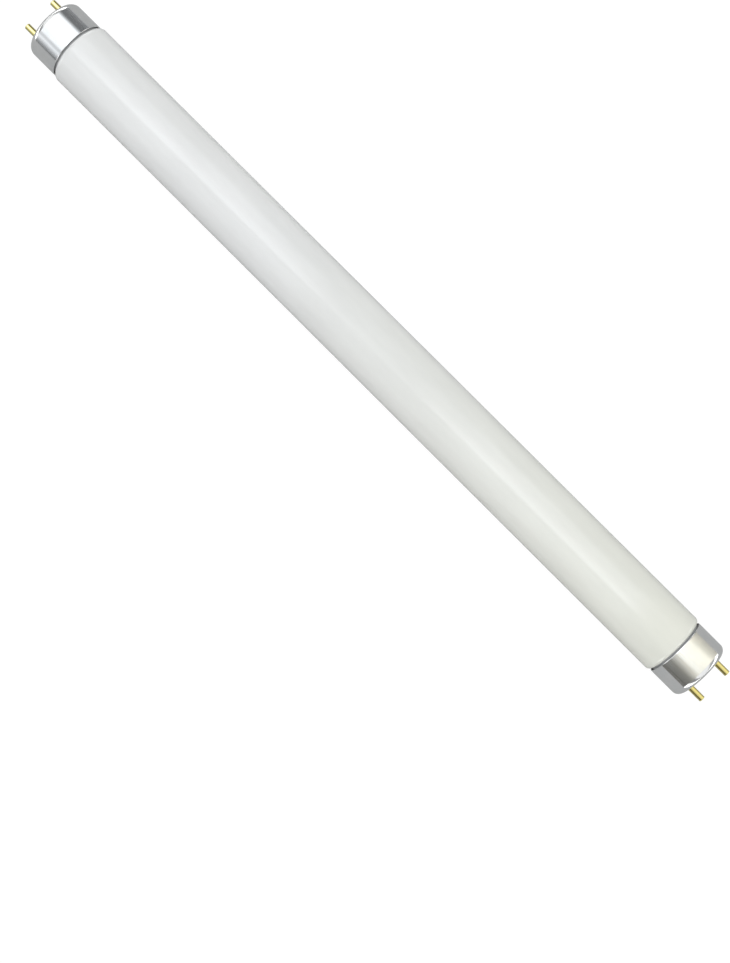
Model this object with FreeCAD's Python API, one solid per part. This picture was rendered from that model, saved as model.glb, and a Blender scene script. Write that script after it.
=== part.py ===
import FreeCAD, Part
import math
import os

# Straight low-pressure discharge lamp with a two-pin cap on each end, at rest on a level surface.
# Its axis runs along X, half the glass diameter above that surface, and the origin is on the
# surface below the lamp's middle. Sizes are in millimetres.
#
# Each end piece is drawn in an end frame: x = 0 is the cap's front face, +x points out of the
# lamp along the pins, and the lamp's axis is the line y = z = 0. Outlines are drawn in the half
# plane z > 0 and turned about that axis. A bend in an outline is drawn in a few straight steps.

# Lamp length over the two cap faces
face_to_face = 330.0

# Glass tube and the shoulder that draws it in under the cap
glass_diameter = 25.0
glass_wall = 0.6
neck_drop = 1.3
shoulder_radius = 1.6
shoulder_steps = 2
throat_radius = 1.0

# Closed glass end: the sealing lip, then the flared mouth of the stem down to its floor
lip_depth = 5.0
lip_bevel = 1.5
flare_length = 7.0
stem_bore = 7.6
stem_depth = 18.0

# Flat pinch that closes the stem round the lead wires
pinch_width = 12.0
pinch_thickness = 3.2
pinch_taper_length = 5.0
pinch_flat_length = 7.5

# Drawn metal cap, slipped over the neck with a ring of basing cement between
cement_thickness = 0.35
cement_recess = 1.0
cap_length = 13.0
cap_wall = 0.35
cap_corner_radius = 2.3
cap_corner_steps = 4

# Long insulating plate, with a boss that fills the window in the cap's face
plate_width = 9.0
plate_thickness = 2.4
plate_clearance = 0.1
window_width = 5.0
window_clearance = 0.1
boss_recess = 0.1

# Contact pins: a thinner shank goes through the plate, and its shoulder is seated on the boss
pin_spacing = 12.7
pin_length = 6.8
pin_diameter = 2.35
pin_bevel = 0.2
pin_shank_diameter = 1.95
pin_tail = 0.4
pin_hole_clearance = 0.02

# Lead wires, which leave the glass at the stem's floor and spread to the tails of the pins
wire_diameter = 0.6
wire_spacing = 5.7
wire_bend_behind_lip = 1.6
wire_bend_behind_pin = 0.45

# Radii and places that follow from the sizes above
glass_radius = glass_diameter / 2
neck_radius = glass_radius - neck_drop
neck_end = -lip_depth - lip_bevel
stem_radius = stem_bore / 2
cap_inner_radius = neck_radius + cement_thickness
cap_radius = cap_inner_radius + cap_wall
cap_inner_corner = cap_corner_radius - cap_wall
plate_front = -cap_wall
plate_back = plate_front - plate_thickness
pin_shoulder = -boss_recess
pin_back = plate_back - pin_tail
pinch_start = -stem_depth - glass_wall / 2

origin = FreeCAD.Vector(0, 0, 0)
axis_x = FreeCAD.Vector(1, 0, 0)
axis_y = FreeCAD.Vector(0, 1, 0)
axis_z = FreeCAD.Vector(0, 0, 1)


def at(x, r):
    """Point of an outline: x along the lamp's axis and r away from it."""
    return FreeCAD.Vector(x, 0, r)


def bend(centre, radius, start, end, steps):
    """Points along an arc of an outline. Its angles are in degrees and turn from +x towards +z."""
    angles = [math.radians(start + (end - start) * step / steps) for step in range(steps + 1)]
    return [centre + at(radius * math.cos(a), radius * math.sin(a)) for a in angles]


def turned(outline):
    """Solid made by turning a closed outline, given by its corners, about the lamp's axis."""
    return Part.Face(Part.makePolygon([*outline, outline[0]])).revolve(origin, axis_x, 360)


def rod(start, end, diameter, y):
    """Plain round rod that lies beside the lamp's axis, at y."""
    return Part.makeCylinder(diameter / 2, end - start, FreeCAD.Vector(start, y, 0), axis_x)


def slot_outline(x, half_spacing, radius):
    """Long hole across the lamp's axis at x, with its two round ends on the Y axis."""
    y = half_spacing
    corners = [FreeCAD.Vector(x, *c) for c in ((-y, radius), (y, radius), (y, -radius), (-y, -radius))]
    right_end = Part.Arc(corners[1], FreeCAD.Vector(x, y + radius, 0), corners[2]).toShape()
    left_end = Part.Arc(corners[3], FreeCAD.Vector(x, -y - radius, 0), corners[0]).toShape()
    top = Part.LineSegment(corners[0], corners[1]).toShape()
    bottom = Part.LineSegment(corners[2], corners[3]).toShape()
    return Part.Wire([top, right_end, bottom, left_end])


def round_outline(x, radius):
    """Circle across the lamp's axis at x, in four arcs that match the sides of a long hole."""
    turns = [math.radians(135 - 45 * step) for step in range(9)]
    points = [FreeCAD.Vector(x, radius * math.cos(a), radius * math.sin(a)) for a in turns]
    return Part.Wire([Part.Arc(*points[i:i + 3]).toShape() for i in (0, 2, 4, 6)])


def prism(outline, length):
    """Solid made by pushing a closed outline outwards along the lamp's axis."""
    return Part.Face(outline).extrude(axis_x * length)


def placed(shape, side):
    """Copy of an end piece at the lamp's left end (-1) or right end (1)."""
    moved = shape.copy()
    if side < 0:
        moved.rotate(origin, axis_z, 180)
    moved.translate(FreeCAD.Vector(side * face_to_face / 2, 0, glass_radius))
    return moved


def inset(outline, depth):
    """Open outline moved sideways by a depth, to its right, with every corner mitred.

    The strip between the two has the same thickness along all of its steps.
    """
    headings = [(b - a).normalize() for a, b in zip(outline, outline[1:])]
    sides = [at(heading.z, -heading.x) for heading in headings]
    pairs = zip([sides[0], *sides], [*sides, sides[-1]])
    mitres = [(before + after) / (1 + before.dot(after)) for before, after in pairs]
    return [point + mitre * depth for point, mitre in zip(outline, mitres)]


def glass_end_outline():
    """Air side of one closed glass end, from the shoulder to the floor of the stem."""
    turn = math.acos(1 - neck_drop / (shoulder_radius + throat_radius))
    shoulder_x = -cap_length - (shoulder_radius + throat_radius) * math.sin(turn)
    shoulder_centre = at(shoulder_x, glass_radius - shoulder_radius)
    return [*bend(shoulder_centre, shoulder_radius, 90, 90 - math.degrees(turn), shoulder_steps),
            at(-cap_length, neck_radius),
            at(neck_end, neck_radius),
            at(-lip_depth, neck_radius - lip_bevel),
            at(-lip_depth - flare_length, stem_radius),
            at(-stem_depth, stem_radius),
            at(-stem_depth, 0)]


def tube_body(depth):
    """Solid inside the outline of the whole tube, both ends closed, at a depth in the glass."""
    right_end = [point + axis_x * (face_to_face / 2) for point in glass_end_outline()]
    left_end = [at(-point.x, point.z) for point in reversed(right_end)]
    body = turned(inset(left_end + right_end, depth))
    body.translate(axis_z * glass_radius)
    return body


def pinch():
    """Solid glass that closes the stem, tapered from round to flat.

    It starts in the middle of the stem's floor, so that the two melt together.
    """
    half_thickness = pinch_thickness / 2
    half_spacing = pinch_width / 2 - half_thickness
    flat = slot_outline(pinch_start - pinch_taper_length, half_spacing, half_thickness)
    round_end = round_outline(pinch_start, stem_radius + glass_wall / 2)
    taper = Part.makeLoft([round_end, flat], True, True)
    return taper.fuse(prism(flat, -pinch_flat_length))


def glass_tube():
    """Glass tube with a stem sealed into each end, one closed piece with its hollow inside."""
    glass = tube_body(0).cut(tube_body(glass_wall))
    return glass.fuse([placed(pinch(), side) for side in (-1, 1)]).removeSplitter()


def end_cap():
    """Thin drawn cup with a rounded front corner and a window for the pins."""
    corner_centre = at(-cap_corner_radius, cap_radius - cap_corner_radius)
    cup = turned([at(-cap_length, cap_radius),
                  *bend(corner_centre, cap_corner_radius, 90, 0, cap_corner_steps),
                  at(0, 0),
                  at(plate_front, 0),
                  *bend(corner_centre, cap_inner_corner, 0, 90, cap_corner_steps),
                  at(-cap_length, cap_inner_radius)])
    window = prism(slot_outline(plate_front, pin_spacing / 2, window_width / 2), cap_wall)
    return cup.cut(window)


def insulating_plate():
    """Moulded plate against the flat inside of the cap's face, its boss in the window."""
    half_length = cap_inner_radius - cap_inner_corner - plate_clearance
    plate_outline = slot_outline(plate_back, half_length - plate_width / 2, plate_width / 2)
    plate = prism(plate_outline, plate_thickness)
    boss_outline = slot_outline(plate_front, pin_spacing / 2, window_width / 2 - window_clearance)
    boss = prism(boss_outline, cap_wall - boss_recess)
    hole = pin_shank_diameter + 2 * pin_hole_clearance
    holes = [rod(plate_back, 0, hole, y) for y in (-pin_spacing / 2, pin_spacing / 2)]
    return plate.fuse(boss).cut(holes).removeSplitter()


def contact_pin(row):
    """Pin through the plate, on the -Y side (-1) or +Y side (1) of the end frame."""
    radius = pin_diameter / 2
    shank_radius = pin_shank_diameter / 2
    pin = turned([at(pin_back, 0), at(pin_back, shank_radius), at(pin_shoulder, shank_radius),
                  at(pin_shoulder, radius), at(pin_length - pin_bevel, radius),
                  at(pin_length, radius - pin_bevel), at(pin_length, 0)])
    pin.translate(axis_y * (row * pin_spacing / 2))
    return pin


def lead_wire(row):
    """Wire from the floor of the stem, out of its flared mouth and on to the tail of the pin."""
    corners = [FreeCAD.Vector(-stem_depth, wire_spacing / 2, 0),
               FreeCAD.Vector(-lip_depth - wire_bend_behind_lip, wire_spacing / 2, 0),
               FreeCAD.Vector(pin_back - wire_bend_behind_pin, pin_spacing / 2, 0),
               FreeCAD.Vector(pin_back, pin_spacing / 2, 0)]
    section = Part.Wire(Part.makeCircle(wire_diameter / 2, corners[0], axis_x))
    mitred = 1
    wire = Part.makePolygon(corners).makePipeShell([section], True, False, mitred)
    return wire if row > 0 else wire.mirror(origin, axis_y)


def cap_cement():
    """Ring of cement that fills the space between the cap and the straight neck of the glass."""
    back = cement_recess - cap_length
    return turned([at(back, neck_radius), at(back, cap_inner_radius),
                   at(neck_end, cap_inner_radius), at(neck_end, neck_radius)])


pieces = {"glass_tube": glass_tube()}
for side, end_name in ((-1, "left"), (1, "right")):
    pieces[end_name + "_end_cap"] = placed(end_cap(), side)
    pieces[end_name + "_insulating_plate"] = placed(insulating_plate(), side)
    pieces[end_name + "_cap_cement"] = placed(cap_cement(), side)
    for row, row_name in ((-side, "front"), (side, "rear")):
        pieces[end_name + "_" + row_name + "_pin"] = placed(contact_pin(row), side)
        pieces[end_name + "_" + row_name + "_lead_wire"] = placed(lead_wire(row), side)

os.makedirs("parts", exist_ok=True)
for name, shape in pieces.items():
    shape.exportStep("parts/" + name + ".step")
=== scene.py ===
import math

import bmesh
import bpy
from mathutils import Matrix, Vector


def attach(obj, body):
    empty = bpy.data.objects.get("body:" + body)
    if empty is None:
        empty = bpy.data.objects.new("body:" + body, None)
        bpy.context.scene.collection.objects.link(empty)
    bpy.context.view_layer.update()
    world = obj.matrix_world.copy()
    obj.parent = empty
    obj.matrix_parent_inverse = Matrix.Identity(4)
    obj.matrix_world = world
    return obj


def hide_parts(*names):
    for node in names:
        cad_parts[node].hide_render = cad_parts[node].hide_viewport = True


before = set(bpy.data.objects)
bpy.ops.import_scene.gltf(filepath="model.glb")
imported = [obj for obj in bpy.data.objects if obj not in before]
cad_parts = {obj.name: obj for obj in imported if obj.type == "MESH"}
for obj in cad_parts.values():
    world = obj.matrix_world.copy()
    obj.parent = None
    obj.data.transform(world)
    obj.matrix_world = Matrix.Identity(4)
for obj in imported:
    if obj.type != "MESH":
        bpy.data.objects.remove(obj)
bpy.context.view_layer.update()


# Glass tube
# A soda-lime glass tube, drawn, necked at both ends and closed by a flared stem melted to its lip.
# A white powder coat, washed down the inside and baked, makes the clear glass look solid white.

# Every length is in millimetres until a mesh is made. FACE_TO_FACE is measured over the two caps.
MM = 0.001
FACE_TO_FACE = 330.0
GLASS_RADIUS = 12.5
NECK_DROP = 1.3
SHOULDER_RADIUS = 1.6
THROAT_RADIUS = 1.0
CAP_LENGTH = 13.0
LIP_DEPTH = 5.0
LIP_BEVEL = 1.5
FLARE_LENGTH = 7.0
STEM_RADIUS = 3.8
STEM_DEPTH = 18.0
COAT_FADE = (0.9, 0.5)
WARM_FROM = -50
WARM_TO = 150
TURN_STEPS = 180
SHARP_EDGE = 35

# A ring of points stands this close to each bend, so that the smooth shading of the bend doesn't
# spread over the straight stretch beside it.
TIGHT = 0.12


def arc(x, r, radius, start, end, steps):
    """Outline points along an arc about (x, r). Angles are in degrees and turn from +x to +r."""
    angles = [math.radians(start + (end - start) * i / steps) for i in range(steps + 1)]
    return [(x + radius * math.cos(a), r + radius * math.sin(a)) for a in angles]


def ring(x, r):
    """One turn of points about the lamp's axis, starting at the top."""
    turns = [2 * math.pi * i / TURN_STEPS for i in range(TURN_STEPS)]
    return [(x, r * math.sin(t), r * math.cos(t)) for t in turns]


def finished(bm, name, material, slot, *nodes):
    """Makes the mesh a piece of the lamp that stands for its nodes, smooth but for its sharp edges."""
    bmesh.ops.recalc_face_normals(bm, faces=bm.faces)
    for face in bm.faces:
        face.smooth = True
    for edge in bm.edges:
        edge.smooth = edge.calc_face_angle(0.0) < math.radians(SHARP_EDGE)
    mesh = bpy.data.meshes.new(name)
    bm.to_mesh(mesh)
    bm.free()
    mesh.materials.append(material)
    piece = bpy.data.objects.new(name, mesh)
    bpy.context.scene.collection.objects.link(piece)
    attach(piece, "root")
    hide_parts(*nodes)
    return piece


def skinned(loops, closed, side=1, y=0.0):
    """Skin over a row of equal loops, drawn in the end frame of a cap and set at the lamp's end.

    side is 1 for the right end and -1 for the left. A loop of one point closes the skin there.
    """
    bm = bmesh.new()
    rows = []
    for loop in loops:
        rows.append([bm.verts.new(Vector((side * (px + FACE_TO_FACE / 2), side * py + y,
                                          pz + GLASS_RADIUS)) * MM) for px, py, pz in loop])
    pairs = list(zip(rows, rows[1:]))
    if closed:
        pairs.append((rows[-1], rows[0]))
    for a, b in pairs:
        count = max(len(a), len(b))
        for i in range(count):
            corners = [a[i % len(a)], a[(i + 1) % len(a)], b[(i + 1) % len(b)], b[i % len(b)]]
            bm.faces.new(dict.fromkeys(corners))
    return bm


def linear(hex_colour):
    """sRGB hex colour as the linear values that a shader takes."""
    parts = [int(hex_colour[i:i + 2], 16) / 255 for i in (1, 3, 5)]
    return (*[p / 12.92 if p <= 0.04045 else ((p + 0.055) / 1.055) ** 2.4 for p in parts], 1.0)


def add(tree, kind, settings=(), **inputs):
    """Adds a shader node. Its inputs are values, or sockets that are linked to it."""
    made = tree.nodes.new("ShaderNode" + kind)
    for key, value in dict(settings).items():
        setattr(made, key, value)
    for key, value in inputs.items():
        socket = made.inputs[int(key[1:])] if key[1:].isdigit() else made.inputs[key.replace("_", " ")]
        if isinstance(value, bpy.types.NodeSocket):
            tree.links.new(value, socket)
        else:
            socket.default_value = value
    return made


def noise(tree, place, scale, **inputs):
    """Noise laid over the lamp. Its scale, in each direction, is in bumps per metre."""
    stretched = add(tree, "Mapping", Vector=place, Scale=scale).outputs["Vector"]
    return add(tree, "TexNoise", Vector=stretched, Scale=1.0, **inputs).outputs["Fac"]


def two_tones(tree, share, low, high, dark, light):
    """Colour that goes from dark to light while the share goes from low to high."""
    ramp = add(tree, "ValToRGB", Fac=share)
    for stop, place, colour in zip(ramp.color_ramp.elements, (low, high), (dark, light)):
        stop.position = place
        stop.color = linear(colour)
    return ramp.outputs["Color"]


def new_material(name):
    """Empty material and its node tree."""
    material = bpy.data.materials.new(name)
    material.use_nodes = True
    material.node_tree.nodes.clear()
    return material, material.node_tree


def surface(tree, shader):
    add(tree, "OutputMaterial", Surface=shader)


def glass_outline():
    """Outline of the right half of the glass in the end frame, from the middle to the stem floor."""
    turn = math.acos(1 - NECK_DROP / (SHOULDER_RADIUS + THROAT_RADIUS))
    degrees = math.degrees(turn)
    shoulder_x = -CAP_LENGTH - (SHOULDER_RADIUS + THROAT_RADIUS) * math.sin(turn)
    neck = GLASS_RADIUS - NECK_DROP
    return [*[(x, GLASS_RADIUS) for x in (-FACE_TO_FACE / 2, -120, -80, -40, -20, shoulder_x - TIGHT)],
            *arc(shoulder_x, GLASS_RADIUS - SHOULDER_RADIUS, SHOULDER_RADIUS, 90, 90 - degrees, 10),
            *arc(-CAP_LENGTH, neck + THROAT_RADIUS, THROAT_RADIUS, -90 - degrees, -90, 6)[1:],
            *arc(-LIP_DEPTH - LIP_BEVEL, neck - LIP_BEVEL, LIP_BEVEL, 90, 0, 8),
            (-LIP_DEPTH - FLARE_LENGTH, STEM_RADIUS), (-STEM_DEPTH, STEM_RADIUS), (-STEM_DEPTH, 0)]


# Soda-lime glass over a baked white powder coat: a wet gloss on a dead matt white. The coat is wiped
# off just short of the cap, and there the glass is painted mid grey: partly the bare glass's own
# look, partly painted shade for the dark neck seen through it. The coat is a little uneven, in runs
# some 25 mm long and 6 mm wide. Its tint runs slightly warmer towards the right end, which is painted
# warm light. The drawn glass has shallow lengthwise waves some 5 mm apart, and the index of its gloss,
# 1.6, is a little high for such glass, so that the long highlight shows as clearly as on the real one.
glass_white, tree = new_material("coated_soda_lime_glass")
place = add(tree, "TexCoord").outputs["Object"]
runs = noise(tree, place, (40, 160, 160), Detail=3.0, Roughness=0.55)
coat_tone = two_tones(tree, runs, 0.3, 0.7, "#e5e6e5", "#eaebea")
across = add(tree, "SeparateXYZ", Vector=place)
# The coat's tint drifts warmer towards the right end: painted warm light, standing in for warmer light on
# that end.
warm_light_share = add(tree, "MapRange", Value=across.outputs["X"], From_Min=WARM_FROM * MM,
             From_Max=WARM_TO * MM).outputs["Result"]
powder_and_warm_light = add(tree, "Mix", {"data_type": "RGBA", "blend_type": "MULTIPLY"}, _0=warm_light_share,
             _6=coat_tone, _7=linear("#fffff5")).outputs[2]
from_middle = add(tree, "Math", {"operation": "ABSOLUTE"}, _0=across.outputs["X"]).outputs["Value"]
# Past the coat's end the glass is painted mid grey: partly the bare glass's own look, partly painted shade
# for the dark neck seen through it.
coat_ends = [(FACE_TO_FACE / 2 - CAP_LENGTH - gap) * MM for gap in COAT_FADE]
coat_edge = add(tree, "MapRange", {"interpolation_type": "SMOOTHSTEP"}, Value=from_middle,
                From_Min=coat_ends[0], From_Max=coat_ends[1]).outputs["Result"]
coat_and_painted_neck_shade = add(tree, "Mix", {"data_type": "RGBA"}, _0=coat_edge, _6=powder_and_warm_light, _7=linear("#a6a7a8")).outputs[2]
waves = noise(tree, place, (8, 200, 200), Detail=1.0)
drawn = add(tree, "Bump", Strength=0.08, Distance=0.0001, Height=waves).outputs["Normal"]
glass_shader = add(tree, "BsdfPrincipled", Base_Color=coat_and_painted_neck_shade, Roughness=0.6, IOR=1.5,
                   Coat_Weight=1.0, Coat_Roughness=0.03, Coat_IOR=1.6, Coat_Normal=drawn)
glass_shader.inputs["Specular IOR Level"].default_value = 0.2
surface(tree, glass_shader.outputs["BSDF"])

right_half = glass_outline()
left_half = [(-FACE_TO_FACE - x, r) for x, r in reversed(right_half[1:])]
tube_loops = [ring(x, r) if r > 0 else [(x, 0, 0)] for x, r in left_half + right_half]
finished(skinned(tube_loops, False), "coated_glass_tube", glass_white, "coated_glass", "glass_tube")


# End caps
# Thin aluminium cups, deep drawn with a rounded front corner and pierced with a long window for
# the pins. Each is slipped over the neck and held by baked cement.

CAP_WALL = 0.35
CAP_RADIUS = 11.9
CAP_CORNER = 2.3
WINDOW_EDGE = 0.1
PIN_SPACING = 12.7
WINDOW_RADIUS = 2.5


def slot(x, half_spacing, radius):
    """One turn of points round a long hole across the axis, at the same turns as a ring's."""
    points = []
    for i in range(TURN_STEPS):
        turn = 2 * math.pi * i / TURN_STEPS
        s, c = math.sin(turn), math.cos(turn)
        reach = radius / abs(c) if abs(c) > 1e-6 else math.inf
        if abs(s) * reach > half_spacing:
            across = half_spacing * abs(s)
            reach = across + math.sqrt(across * across - half_spacing ** 2 + radius ** 2)
        points.append((x, reach * s, reach * c))
    return points


def between(loop_a, loop_b, share):
    """Loop that lies a share of the way from one loop to another."""
    return [tuple(p + (q - p) * share for p, q in zip(a, b)) for a, b in zip(loop_a, loop_b)]


# Bright drawn aluminium: a clean metal mirror, softened by fine draw lines along the cap that lie
# 0.15 to 0.5 mm apart, with faint handling marks.
bright_aluminium, tree = new_material("drawn_aluminium")
place = add(tree, "TexCoord").outputs["Object"]
lines = noise(tree, place, (60, 2600, 2600), Detail=2.0)
marks = add(tree, "TexNoise", Vector=place, Scale=220.0, Detail=4.0, Roughness=0.6).outputs["Fac"]
tone = two_tones(tree, marks, 0.35, 0.7, "#eef0f0", "#f7f7f6")
gloss = add(tree, "MapRange", Value=lines, From_Min=0.3, From_Max=0.7,
            To_Min=0.10, To_Max=0.17).outputs["Result"]
scored = add(tree, "Bump", Strength=0.06, Distance=0.00005, Height=lines).outputs["Normal"]
cap_shader = add(tree, "BsdfPrincipled", Base_Color=tone, Metallic=1.0, Roughness=gloss, Normal=scored)
surface(tree, cap_shader.outputs["BSDF"])


def cap_loops():
    """Loops of the whole cup: outside, front, window edge, inside and back to the mouth."""
    centre_x, centre_r = -CAP_CORNER, CAP_RADIUS - CAP_CORNER
    mouth = -CAP_LENGTH
    inner = CAP_RADIUS - CAP_WALL
    edge = CAP_WALL / 2
    straight = [mouth + edge + TIGHT, -9, -5.5, centre_x - TIGHT]
    outside = [*arc(mouth + edge, CAP_RADIUS - edge, edge, 180, 90, 5),
               *[(x, CAP_RADIUS) for x in straight],
               *arc(centre_x, centre_r, CAP_CORNER, 90, 0, 16)]
    inside = [*arc(centre_x, centre_r, CAP_CORNER - CAP_WALL, 0, 90, 12),
              *[(x, inner) for x in reversed(straight)],
              *arc(mouth + edge, inner + edge, edge, 270, 180, 5)[:-1]]
    window = [slot(x, PIN_SPACING / 2, r) for x, r in
              [*arc(-WINDOW_EDGE, WINDOW_RADIUS + WINDOW_EDGE, WINDOW_EDGE, 90, 180, 4),
               (-CAP_WALL, WINDOW_RADIUS)]]
    outer_rings = [ring(x, r) for x, r in outside]
    inner_rings = [ring(x, r) for x, r in inside]
    face = [between(outer_rings[-1], window[0], share) for share in (0.25, 0.5, 0.75)]
    back = [between(window[-1], inner_rings[0], share) for share in (0.25, 0.5, 0.75)]
    return outer_rings + face + window + back + inner_rings


for side, end in ((-1, "left"), (1, "right")):
    finished(skinned(cap_loops(), True, side), end + "_drawn_cap", bright_aluminium, "cap_aluminium",
             end + "_end_cap")


# Insulating plates
# Dark brown phenolic, hot moulded, seated behind the face of each cap with a boss that fills the
# window. The solids have its shape, so they stay and get this finish.

# Moulded phenolic: brown-black, a dull satin with fine flow mottling some 2 mm across.
phenolic, tree = new_material("moulded_phenolic")
place = add(tree, "TexCoord").outputs["Object"]
flow = add(tree, "TexNoise", Vector=place, Scale=500.0, Detail=4.0, Distortion=0.6).outputs["Fac"]
mottle = two_tones(tree, flow, 0.35, 0.7, "#2e1a10", "#4c2c19")
satin = add(tree, "MapRange", Value=flow, To_Min=0.38, To_Max=0.5).outputs["Result"]
pits = add(tree, "Bump", Strength=0.15, Distance=0.00003,
           Height=add(tree, "TexNoise", Vector=place, Scale=4000.0).outputs["Fac"]).outputs["Normal"]
plate_shader = add(tree, "BsdfPrincipled", Base_Color=mottle, Roughness=satin, Normal=pits)
surface(tree, plate_shader.outputs["BSDF"])
for end in ("left", "right"):
    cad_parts[end + "_insulating_plate"].data.materials[0] = phenolic


# Contact pins
# Hard brass rod, turned down to a thinner shank that goes through the insulating plate, then
# tumbled so that each tip has a small soft bevel. The shoulder is seated on the plate's boss.

PIN_LENGTH = 6.8
PIN_BACK = -3.15
PIN_SHOULDER = -0.1
PIN_RADIUS = 1.175
SHANK_RADIUS = 0.975
PIN_BEVEL = 0.2

# Drawn brass: pale yellow and bright, with faint lengthwise draw lines 0.1 to 0.3 mm apart.
bright_brass, tree = new_material("drawn_brass")
place = add(tree, "TexCoord").outputs["Object"]
lines = noise(tree, place, (150, 5000, 5000), Detail=2.0)
tone = two_tones(tree, lines, 0.35, 0.7, "#e2d588", "#f0e6a6")
gloss = add(tree, "MapRange", Value=lines, From_Min=0.3, From_Max=0.7,
            To_Min=0.05, To_Max=0.10).outputs["Result"]
pin_shader = add(tree, "BsdfPrincipled", Base_Color=tone, Metallic=1.0, Roughness=gloss)
surface(tree, pin_shader.outputs["BSDF"])

pin_outline = [(PIN_BACK, 0), (PIN_BACK, SHANK_RADIUS), (PIN_SHOULDER, SHANK_RADIUS),
               (PIN_SHOULDER, PIN_RADIUS), (3, PIN_RADIUS), (PIN_LENGTH - PIN_BEVEL - TIGHT, PIN_RADIUS),
               *arc(PIN_LENGTH - PIN_BEVEL, PIN_RADIUS - PIN_BEVEL, PIN_BEVEL, 90, 0, 5), (PIN_LENGTH, 0)]
pin_loops = [ring(x, r) if r > 0 else [(x, 0, 0)] for x, r in pin_outline]
for side, end in ((-1, "left"), (1, "right")):
    for row, row_name in ((-1, "front"), (1, "rear")):
        name = end + "_" + row_name + "_"
        finished(skinned(pin_loops, False, side, row * PIN_SPACING / 2), name + "brass_pin", bright_brass,
                 "pin_brass", name + "pin")


# Basing cement
# A ring of baked resin cement between cap and neck, brown and gritty. The solids have its shape.

# Baked basing cement: dull brown with a sandy grain some 0.3 mm across.
baked_cement, tree = new_material("baked_cement")
place = add(tree, "TexCoord").outputs["Object"]
grain = add(tree, "TexNoise", Vector=place, Scale=3000.0, Detail=3.0).outputs["Fac"]
tone = two_tones(tree, grain, 0, 1, "#3a2f25", "#6b5744")
gritty = add(tree, "Bump", Strength=0.4, Distance=0.0001, Height=grain).outputs["Normal"]
cement_shader = add(tree, "BsdfPrincipled", Base_Color=tone, Roughness=0.85, Normal=gritty)
surface(tree, cement_shader.outputs["BSDF"])
for end in ("left", "right"):
    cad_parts[end + "_cap_cement"].data.materials[0] = baked_cement


# Lead wires
# Nickel plated wires, sealed in the glass and welded to the pins' tails, out of sight in the caps.

# Nickel plate on wire: warm grey metal, half bright, with short draw marks.
nickel, tree = new_material("nickel_plated_wire")
place = add(tree, "TexCoord").outputs["Object"]
lines = noise(tree, place, (300, 4000, 4000))
tone = two_tones(tree, lines, 0, 1, "#a8a49a", "#c4c0b6")
wire_shader = add(tree, "BsdfPrincipled", Base_Color=tone, Metallic=1.0, Roughness=0.3)
surface(tree, wire_shader.outputs["BSDF"])
for end in ("left", "right"):
    for row_name in ("front", "rear"):
        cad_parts[end + "_" + row_name + "_lead_wire"].data.materials[0] = nickel


# Studio
# A pale floor and a soft tent of long light strips over it, as in a small product studio.

FLOOR_REACH = 8.0
SEEN_WHITE = 0.75
MIRRORED_WHITE = 0.03
WHITE_STRENGTH = 1.25

# The camera sees the floor as white but for the soft shadow under the lamp. Metal and gloss mirror
# only a small share of that white, because the real caps mirror a mid grey surface.
floor_material, tree = new_material("pale_floor")
sight = add(tree, "LightPath").outputs
seen = add(tree, "Math", {"operation": "MAXIMUM"}, _0=sight["Is Camera Ray"],
           _1=sight["Is Transmission Ray"]).outputs["Value"]
whitened = add(tree, "Math", {"operation": "MULTIPLY"}, _0=seen, _1=SEEN_WHITE).outputs["Value"]
white_share = add(tree, "Math", {"operation": "MULTIPLY_ADD"}, _0=sight["Is Glossy Ray"], _1=MIRRORED_WHITE,
                 _2=whitened).outputs["Value"]
floor_shader = add(tree, "MixShader", _0=white_share,
                   _1=add(tree, "BsdfDiffuse", Color=linear("#aeaeae")).outputs["BSDF"],
                   _2=add(tree, "Emission", Color=(1, 1, 1, 1), Strength=WHITE_STRENGTH).outputs["Emission"])
surface(tree, floor_shader.outputs["Shader"])
floor_mesh = bpy.data.meshes.new("floor")
floor_corners = [(x * FLOOR_REACH, y * FLOOR_REACH, 0) for x, y in ((-1, -1), (1, -1), (1, 1), (-1, 1))]
floor_mesh.from_pydata(floor_corners, [], [(0, 1, 2, 3)])
floor_mesh.materials.append(floor_material)
floor = bpy.data.objects.new("floor", floor_mesh)
bpy.context.scene.collection.objects.link(floor)

# The light comes from strips that run along the lamp. Each strip's place is the angle in degrees
# from straight up, towards -Y, and its number is its brightness. The glass and the left cap mirror
# the left set, the right cap mirrors the right set, and the end set lies beyond the lamp's two ends,
# where the front corners of the caps mirror it.
LEFT_STRIPS = ((-90, 0.28), (-72, 0.16), (-53, 0.18), (-46, 0.6), (-40, 1.25), (-10, 1.9), (14, 3.0),
               (24, 1.2), (42, 1.2), (50, 0.68), (55, 0.75), (62, 1.05), (70, 0.72), (78, 0.4), (86, 0.18),
               (95, 0.24))
RIGHT_STRIPS = ((-90, 0.5), (-75, 0.64), (-62, 0.84), (-45, 1.18), (-30, 1.14), (-9, 1.06), (11, 0.88),
                (25, 0.66), (39, 0.36), (54, 0.18), (70, 0.12), (87, 0.1), (95, 0.14))
END_STRIPS = ((-90, 3.4), (-74, 2.5), (-64, 0.4), (-40, 0.45), (-32, 0.95), (30, 0.95), (40, 0.25), (62, 0.3),
              (72, 2.1), (90, 3.4))

# The left set gives way to the right set, and both to the end set, between these leans. A lean is an
# angle in degrees from straight up, towards +X, and those of the end set count from MIDDLE_LEAN.
RIGHT_SET_LEAN = (6.6, 8.2)
MIDDLE_LEAN = -6
END_SET_LEAN = (18, 26)

# The left set is two rows of strips end to end, with a gap round MIDDLE_LEAN, from where its leans
# count. GAP_SHARE of the light is left there, which thins out the highlight halfway along the glass.
GAP_LEAN = (1.5, 6.5)
GAP_SHARE = 0.45
LEFT_TINT = "#f8fbff"
RIGHT_TINT = "#fffbeb"
END_TINT = "#ffffff"
FULL_STRENGTH = 4.0

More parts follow.
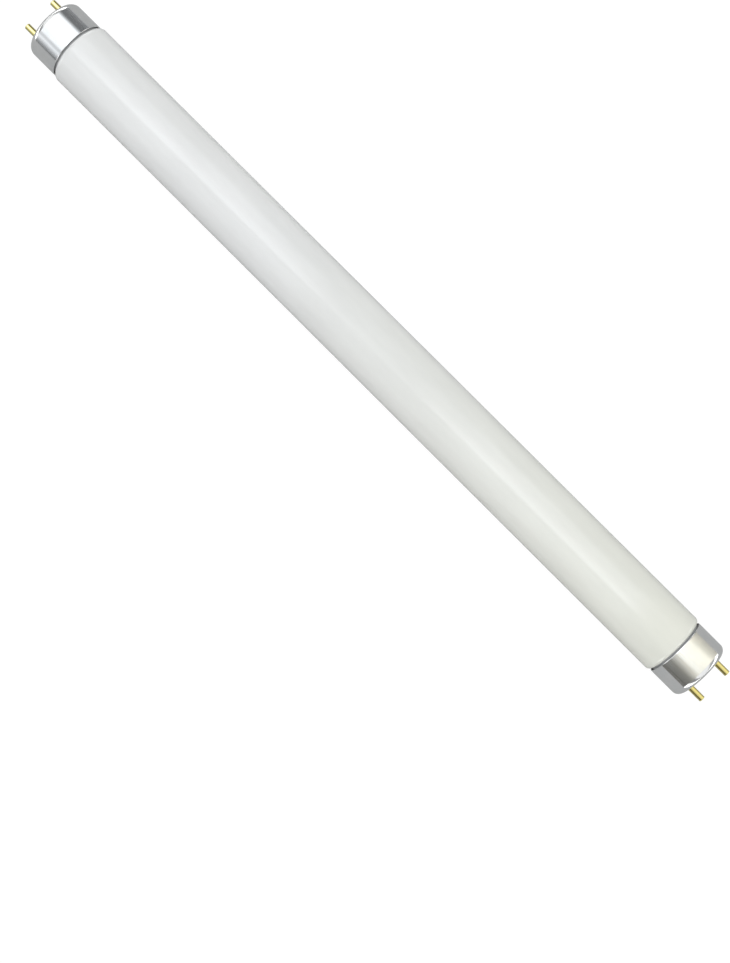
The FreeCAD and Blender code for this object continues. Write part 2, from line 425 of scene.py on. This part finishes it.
world = bpy.data.worlds.new("studio")
bpy.context.scene.world = world
world.use_nodes = True
tree = world.node_tree
tree.nodes.clear()
way = add(tree, "SeparateXYZ", Vector=add(tree, "TexCoord").outputs["Generated"]).outputs
to_front = add(tree, "Math", {"operation": "MULTIPLY"}, _0=way["Y"], _1=-1.0).outputs["Value"]
tilt = add(tree, "Math", {"operation": "ARCTAN2"}, _0=to_front, _1=way["Z"]).outputs["Value"]
lean = add(tree, "Math", {"operation": "ARCSINE"}, _0=way["X"]).outputs["Value"]


def strip_light(strips, tint):
    """Light by tilt, read from a ramp over a whole turn whose value 1 is FULL_STRENGTH."""
    share = add(tree, "MapRange", Value=tilt, From_Min=-math.pi, From_Max=math.pi).outputs["Result"]
    ramp = add(tree, "ValToRGB", Fac=share)
    stops = ramp.color_ramp.elements
    while len(stops) < len(strips):
        stops.new(0.5)
    for stop, (angle, level) in zip(stops, strips):
        stop.position = (angle + 180) / 360
        stop.color = [level / FULL_STRENGTH * part for part in linear(tint)[:3]] + [1]
    return ramp.outputs["Color"]


def crossover(angle, leans):
    """Share that goes from 0 to 1 while an angle goes between two leans."""
    start, end = [math.radians(lean_angle) for lean_angle in leans]
    return add(tree, "MapRange", {"interpolation_type": "SMOOTHSTEP"}, Value=angle,
               From_Min=start, From_Max=end).outputs["Result"]


from_middle = add(tree, "Math", _0=lean, _1=-math.radians(MIDDLE_LEAN)).outputs["Value"]
off_middle = add(tree, "Math", {"operation": "ABSOLUTE"}, _0=from_middle).outputs["Value"]
dimming = add(tree, "MapRange", Value=crossover(off_middle, GAP_LEAN), To_Min=GAP_SHARE).outputs["Result"]
left_light = add(tree, "VectorMath", {"operation": "SCALE"}, Vector=strip_light(LEFT_STRIPS, LEFT_TINT),
                 Scale=dimming).outputs["Vector"]
inner = add(tree, "Mix", {"data_type": "RGBA"}, _0=crossover(lean, RIGHT_SET_LEAN), _6=left_light,
            _7=strip_light(RIGHT_STRIPS, RIGHT_TINT)).outputs[2]
strips = add(tree, "Mix", {"data_type": "RGBA"}, _0=crossover(off_middle, END_SET_LEAN), _6=inner,
             _7=strip_light(END_STRIPS, END_TINT)).outputs[2]
sight = add(tree, "LightPath").outputs
lit = add(tree, "Background", Color=strips, Strength=FULL_STRENGTH).outputs["Background"]
white = add(tree, "Background", Color=(1, 1, 1, 1), Strength=1.0).outputs["Background"]
sky = add(tree, "MixShader", _0=sight["Is Camera Ray"], _1=lit, _2=white).outputs["Shader"]
add(tree, "OutputWorld", Surface=sky)

# The camera looks almost straight down from 0.57 m, turned so that the lamp lies from the upper
# left to the lower right. It is turned about CAMERA_TURN, by that line's length in radians.
CAMERA_PLACE = (60.1157, -74.1013, 573.056)
CAMERA_TURN = (0.0825006, 0.01949419, 0.78780858)
LENS = 58.94
camera_data = bpy.data.cameras.new("camera")
camera_data.lens = LENS
camera_data.sensor_width = 36.0
camera = bpy.data.objects.new("camera", camera_data)
bpy.context.scene.collection.objects.link(camera)
turn_axis = Vector(CAMERA_TURN)
camera.matrix_world = (Matrix.Translation(Vector(CAMERA_PLACE) * MM)
                       @ Matrix.Rotation(turn_axis.length, 4, turn_axis.normalized()))
bpy.context.scene.camera = camera
bpy.context.scene.view_settings.view_transform = "Standard"
